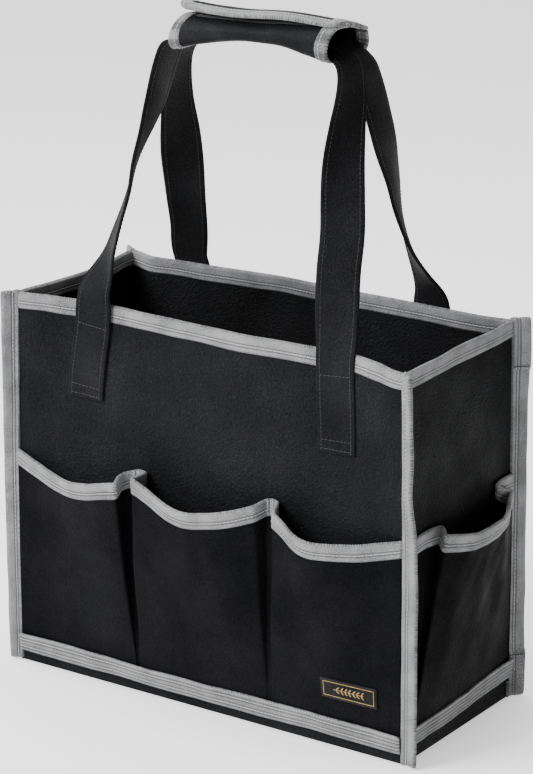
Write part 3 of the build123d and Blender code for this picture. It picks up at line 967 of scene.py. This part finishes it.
def build_straps():
    for face in ("front", "back"):
        line, tangent, across = strap_line(face)
        cloth = strap_cloth(line, tangent, across)
        nodes = [f"{face}_strap", f"{face}_left_strap_anchor", f"{face}_right_strap_anchor"]
        piece = cloth.piece(f"{face}_strap_cloth", None, "webbing", WEBBING, nodes)
        rows = [stitch_row(cloth.row(place, side, 0.02), radius=0.25)
                for place in STRAP_SEAMS for side in (1, -1)]
        rows += cross_rows(cloth, line)
        seams = stitching(f"{face}_strap_stitches", rows, None, BLACK_THREAD)
        for made in (piece, seams):
            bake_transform(made)


def cross_rows(cloth, line):
    """Cross rows that hold each sewn end to its panel."""
    rows = []
    outer = 1 if cloth.normal[2, 6, 1] * line[2, 1] > 0 else -1
    middle = len(line) // 2
    for height in CROSS_HEIGHTS:
        away = np.abs(line[:, 2] - height)
        for i in (int(away[:middle].argmin()), middle + int(away[middle:].argmin())):
            across = (cloth.face(outer)[i, 1:-1], cloth.normal[i, 1:-1] * outer)
            rows.append(stitch_row(across, radius=0.25))
    return rows


# --- Grip ---
# Along the grip from its middle: how far the wrap's underside is below the top of the pads, and
# how far the flap's free edge and its hinge stand above it.
UNDERSIDE = ((-66, 24.5), (-54, 21.0), (-42, 18.0), (-24, 14.3), (-6, 12.0), (14, 11.0),
             (30, 11.4), (46, 14.4), (58, 16.8), (68, 18.4))
FREE_EDGE = ((-70, 8.0), (-54, 7.4), (-37, 6.1), (-9, 6.7), (24, 8.9), (54, 8.0), (76, 6.4))
HINGE_LINE = ((-66, -4.0), (-30, -1.8), (0, 0.4), (40, 0.6), (68, -1.5))
GRIP_SAMPLES = (129, 41)
# How much the tape adds to a pad's half thickness at its ends and along the flap's free edge.
END_TAPE, EDGE_TAPE = 0.45, 0.38


def pad_low(x):
    return PAD_HIGH[2] - graph(UNDERSIDE, x - GRIP_X)


def grip_surface(profile_of, slide, slants, round_off):
    """A sheet over the grip from a function (x) -> rows of (y, z).

    Its last edge is slid along X, the first corners of its two ends are slanted outward, and the
    corners of its last edge are rounded off."""
    whole = np.linspace(0, 1, GRIP_SAMPLES[1])
    mid = np.zeros((*GRIP_SAMPLES, 3))
    for i, x in enumerate(np.linspace(GRIP_X - GRIP_HALF, GRIP_X + GRIP_HALF, GRIP_SAMPLES[0])):
        rows = blurred(evened(through(profile_of(x), 90), len(whole), 2), 1.2)
        near = max(round_off - (GRIP_HALF - abs(x - GRIP_X)), 0.0)
        lost = round_off - math.sqrt(round_off**2 - near**2)
        v = whole * (1 - lost / travelled(rows)[-1])
        first = np.clip(1 - v / 0.5, 0, 1) ** 1.4
        left = slants[0] * smooth((GRIP_X - x) / GRIP_HALF - 0.2) * (0.15 + first)
        right = slants[1] * smooth((x - GRIP_X) / GRIP_HALF - 0.2) * first
        mid[i, :, 0] = x + slide * v**1.3 + left + right
        mid[i, :, 1:] = looked_up(v, whole, rows)
    return mid


def front_pad_profile(x):
    """From the top, round the front wall, to the edge of the underside."""
    wide = GRIP_WIDE + 2.0 * float(smooth((x - GRIP_X - 10) / 55))
    low, high = pad_low(x) + 1.5, PAD_HIGH[2] + 0.6 + 0.10 * (x - GRIP_X) * (x > GRIP_X)
    tall = high - low
    return [(-8.0, high), (-wide + 8.5, high - 0.3), (-wide + 2.6, high - 0.18 * tall - 0.8),
            (-wide, low + 0.52 * tall), (-wide + 1.2, low + 0.22 * tall),
            (-wide + 5.5, low + 0.3), (-wide + 13, low), (0.0, low), (11.5, low + 0.2)]


def back_pad_profile(x):
    """From the top of the back wall, round it, to the edge of the underside."""
    wide = GRIP_WIDE
    low, high = pad_low(x) + 1.5, PAD_HIGH[2] - 2.4 + graph(HINGE_LINE, x - GRIP_X)
    tall = high - low
    return [(wide - 1.0, high), (wide + 0.1, low + 0.55 * tall), (wide - 1.2, low + 0.22 * tall),
            (wide - 5.0, low + 0.4), (wide - 9, low), (13.8, low + 0.1)]


def flap_profile(x):
    """From the hinge at the back, over the top, to the free front edge."""
    free = PAD_HIGH[2] + graph(FREE_EDGE, x - GRIP_X)
    back = PAD_HIGH[2] + graph(HINGE_LINE, x - GRIP_X)
    return [(GRIP_WIDE - 0.9, back - 0.3), (GRIP_WIDE - 7, back + 1.8),
            (5.0, back + 0.5 * (free - back) + 1.4), (-7.0, free + 0.6),
            (-GRIP_WIDE + 9, free + 1.2), (-GRIP_WIDE + 5, free + 0.8), (-GRIP_WIDE + 2.6, free)]


def bound_tape(name, body, cloth, shares, axis, replaced, grow):
    """Tape folded over a stretch of a pad's edge, from the pad's own grid."""
    last = cloth.mid.shape[axis] - 1
    picks = slice(round(shares[0] * last), round(shares[1] * last) + 1)
    index = (picks, slice(None)) if axis == 0 else (slice(None), picks)
    tape = Cloth(cloth.mid[index], cloth.half[index] + grow)
    tape.piece(name, body, "binding", GREY_TAPE, replaced)
    return tape


def padded_half(shape, full, edge):
    """Half thickness of a pad: full in the middle, thin at its bound edges."""
    u = np.linspace(-1, 1, shape[0])[:, None]
    v = np.linspace(-1, 1, shape[1])[None]
    crown = (1 - np.abs(u) ** 6) * (1 - np.abs(v) ** 4)
    return edge + (full - edge) * crown


# Each pad: its body, node, profile, full half thickness, slide, slants and corner radius.
PADS = {
    "front_grip": ("front_strap", "front_grip_pad", front_pad_profile, 1.5, 0.0, (14.0, 9.0), 0.0),
    "back_grip": ("back_strap", "back_grip_pad", back_pad_profile, 1.45, 0.0, (0.0, 0.0), 0.0),
    "grip_flap": ("grip_flap", "grip_flap", flap_profile, 1.5, 8.0, (0.0, 0.0), 9.0),
}


def build_grip():
    end = 8.5 / (2 * GRIP_HALF)
    for name, (body, node, profile, full, slide, slants, round_off) in PADS.items():
        mid = grip_surface(profile, slide, slants, round_off)
        mid[..., 2] += 0.35 * ripple(mid[..., 0], mid[..., 1] * 0.6, 160 + len(name), 42)
        cloth = Cloth(mid, padded_half(GRIP_SAMPLES, full, 1.0))
        piece = cloth.piece(f"{name}_cloth", body, "grip_fabric", GRIP_CLOTH, [node])
        rows = []
        for side, shares, seam, replaced in (
            ("left", (0.0, end), 1 - TAPE_SEAM, [f"{node}_binding"]),
            ("right", (1.0 - end, 1.0), TAPE_SEAM, []),
        ):
            tape = bound_tape(f"{name}_{side}_tape", body, cloth, shares, 0, replaced, END_TAPE)
            for face in (1, -1):
                rows.append(stitch_row(tape.column(seam, face, THREAD_LIFT)))
        if name == "grip_flap":
            tape = bound_tape("grip_flap_edge_tape", body, cloth, (0.85, 1.0), 1, [], EDGE_TAPE)
            sew(rows, tape, TAPE_SEAM)
        stitching(f"{name}_stitches", rows, body, GREY_THREAD)
        if name == "grip_flap":
            build_fastener("grip_hook_strip", body, cloth, (0.6, 0.8), 1)
        if name == "front_grip":
            build_fastener("grip_loop_strip", body, cloth, (0.0, 0.15), -1)


def build_fastener(node, body, cloth, shares, side):
    """A hook or loop strip along the middle of a pad, lying on one of its faces."""
    nu, nv = cloth.half.shape
    rows = slice(int(0.11 * (nu - 1)), int(0.89 * (nu - 1)) + 1)
    columns = slice(int(shares[0] * (nv - 1)), int(shares[1] * (nv - 1)) + 1)
    lift = cloth.half[rows, columns, None] + 0.25
    mid = cloth.mid[rows, columns] + cloth.normal[rows, columns] * side * lift
    Cloth(mid, 0.4).piece(f"{node}_pile", body, "hook_loop", PILE, [node])


# --- Stage ---
# The camera's place in metres, and the degrees that it is turned and looks down.
CAMERA_PLACE = (1.232, -1.803, 0.942)
CAMERA_AZIMUTH = 34.248
CAMERA_ELEVATION = 18.261
CAMERA_LENS = 152.2
# Each light: its place, the side of its square and its power in watts.
LIGHTS = {"key": ((-1.3, -2.2, 2.0), 1.6, 150), "top": ((-0.3, 0.1, 2.6), 1.8, 70)}
LIT_POINT = (0, 0, 0.2)
SKY = (1.35, 0.08, -1.0, 0.7)  # brightness at the left and right, and the X of each


def placed(name, data, place, turn):
    """A light or a camera at a place, turned from looking straight down."""
    thing = bpy.data.objects.new(name, data)
    thing.location = place
    thing.rotation_euler = turn
    bpy.context.scene.collection.objects.link(thing)
    return thing


def build_floor():
    bpy.ops.mesh.primitive_plane_add(size=16)
    floor = bpy.context.object
    floor.name = "floor"
    n = Nodes("pale_floor")
    tone = n.noise(n.place(), 3.0, 2.0)
    paint = n.ramp(tone, ((0.3, (0.90, 0.90, 0.90)), (0.7, (0.92, 0.92, 0.92))))
    floor.data.materials.append(n.finish(Base_Color=paint, Roughness=0.85, Emission_Strength=0.7,
                                         Emission_Color=(1.0, 1.0, 1.0, 1.0)))


def build_world():
    world = bpy.context.scene.world or bpy.data.worlds.new("studio")
    bpy.context.scene.world = world
    n = Nodes(world)
    background = n.tree.nodes["Background"]
    side = n.add("SeparateXYZ", "X", {0: n.add("TexCoord", "Generated")})
    n.put(background, "Color", (1.0, 1.0, 1.0, 1.0))
    n.put(background, "Strength", n.span(side, *SKY))


def build_lights():
    for name, (place, size, power) in LIGHTS.items():
        data = bpy.data.lights.new(name, "AREA")
        data.shape = "SQUARE"
        data.size = size
        data.energy = power
        x, y, z = unit(np.array(LIT_POINT) - np.array(place))
        placed(name, data, place, (math.pi / 2 + math.asin(z), 0.0, math.atan2(-x, y)))


def build_camera():
    data = bpy.data.cameras.new("camera")
    data.lens = CAMERA_LENS
    data.sensor_width = 36.0
    data.clip_end = 60.0
    turn = (math.radians(90 - CAMERA_ELEVATION), 0.0, math.radians(CAMERA_AZIMUTH))
    bpy.context.scene.camera = placed("camera", data, CAMERA_PLACE, turn)


build_floor()
build_world()
build_lights()
build_panels()
build_base()
build_rims()
build_fins()
build_pockets()
build_label()
build_straps()
build_grip()
stitching("tape_stitches", GREY_ROWS, "bag", GREY_THREAD)
stitching("fabric_stitches", BLACK_ROWS, "bag", BLACK_THREAD)
build_camera()

bpy.context.view_layer.update()
